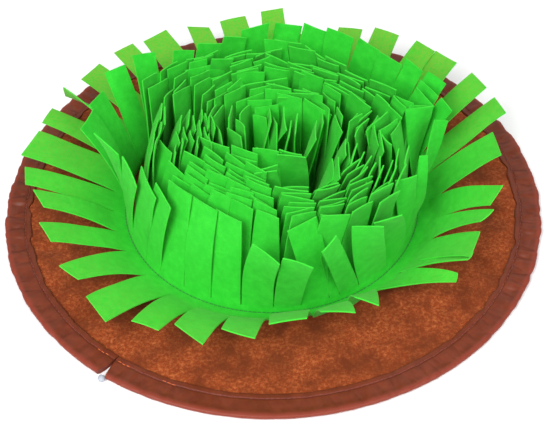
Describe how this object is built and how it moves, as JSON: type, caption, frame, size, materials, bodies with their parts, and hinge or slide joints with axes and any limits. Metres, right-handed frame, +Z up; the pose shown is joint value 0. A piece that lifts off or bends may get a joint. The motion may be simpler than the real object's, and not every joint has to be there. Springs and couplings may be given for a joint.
{
  "type": "snuffle mat",
  "caption": "Round felt mat in a gathered drawcord casing, with sewn rings of upright felt strips and a collar of laid-out ones for hiding dry pet food.",
  "frame": {"origin": "middle of the mat's underside, on the surface it lies on", "axes": "+Z up out of the mat, +X towards the right-hand side of the picture and -Y towards its front"},
  "size_m": [0.4987, 0.4989, 0.1048],
  "materials": {
    "rust_felt": "needle-punched polyester felt, matt",
    "brown_taffeta": "coated woven taffeta, gathered, dull sheen",
    "pale_cord": "knotted braided cord",
    "green_felt": "smooth pressed felt, matt"
  },
  "bodies": {
    "root": {"felt_base": "rust_felt", "drawcord_casing": "brown_taffeta", "drawcord_end": "pale_cord", "fringe_collar": "green_felt", "fringe_2": "green_felt", "fringe_3": "green_felt", "fringe_4": "green_felt", "fringe_5": "green_felt", "fringe_6": "green_felt", "fringe_7": "green_felt", "fringe_8": "green_felt"}
  },
  "joints": []
}
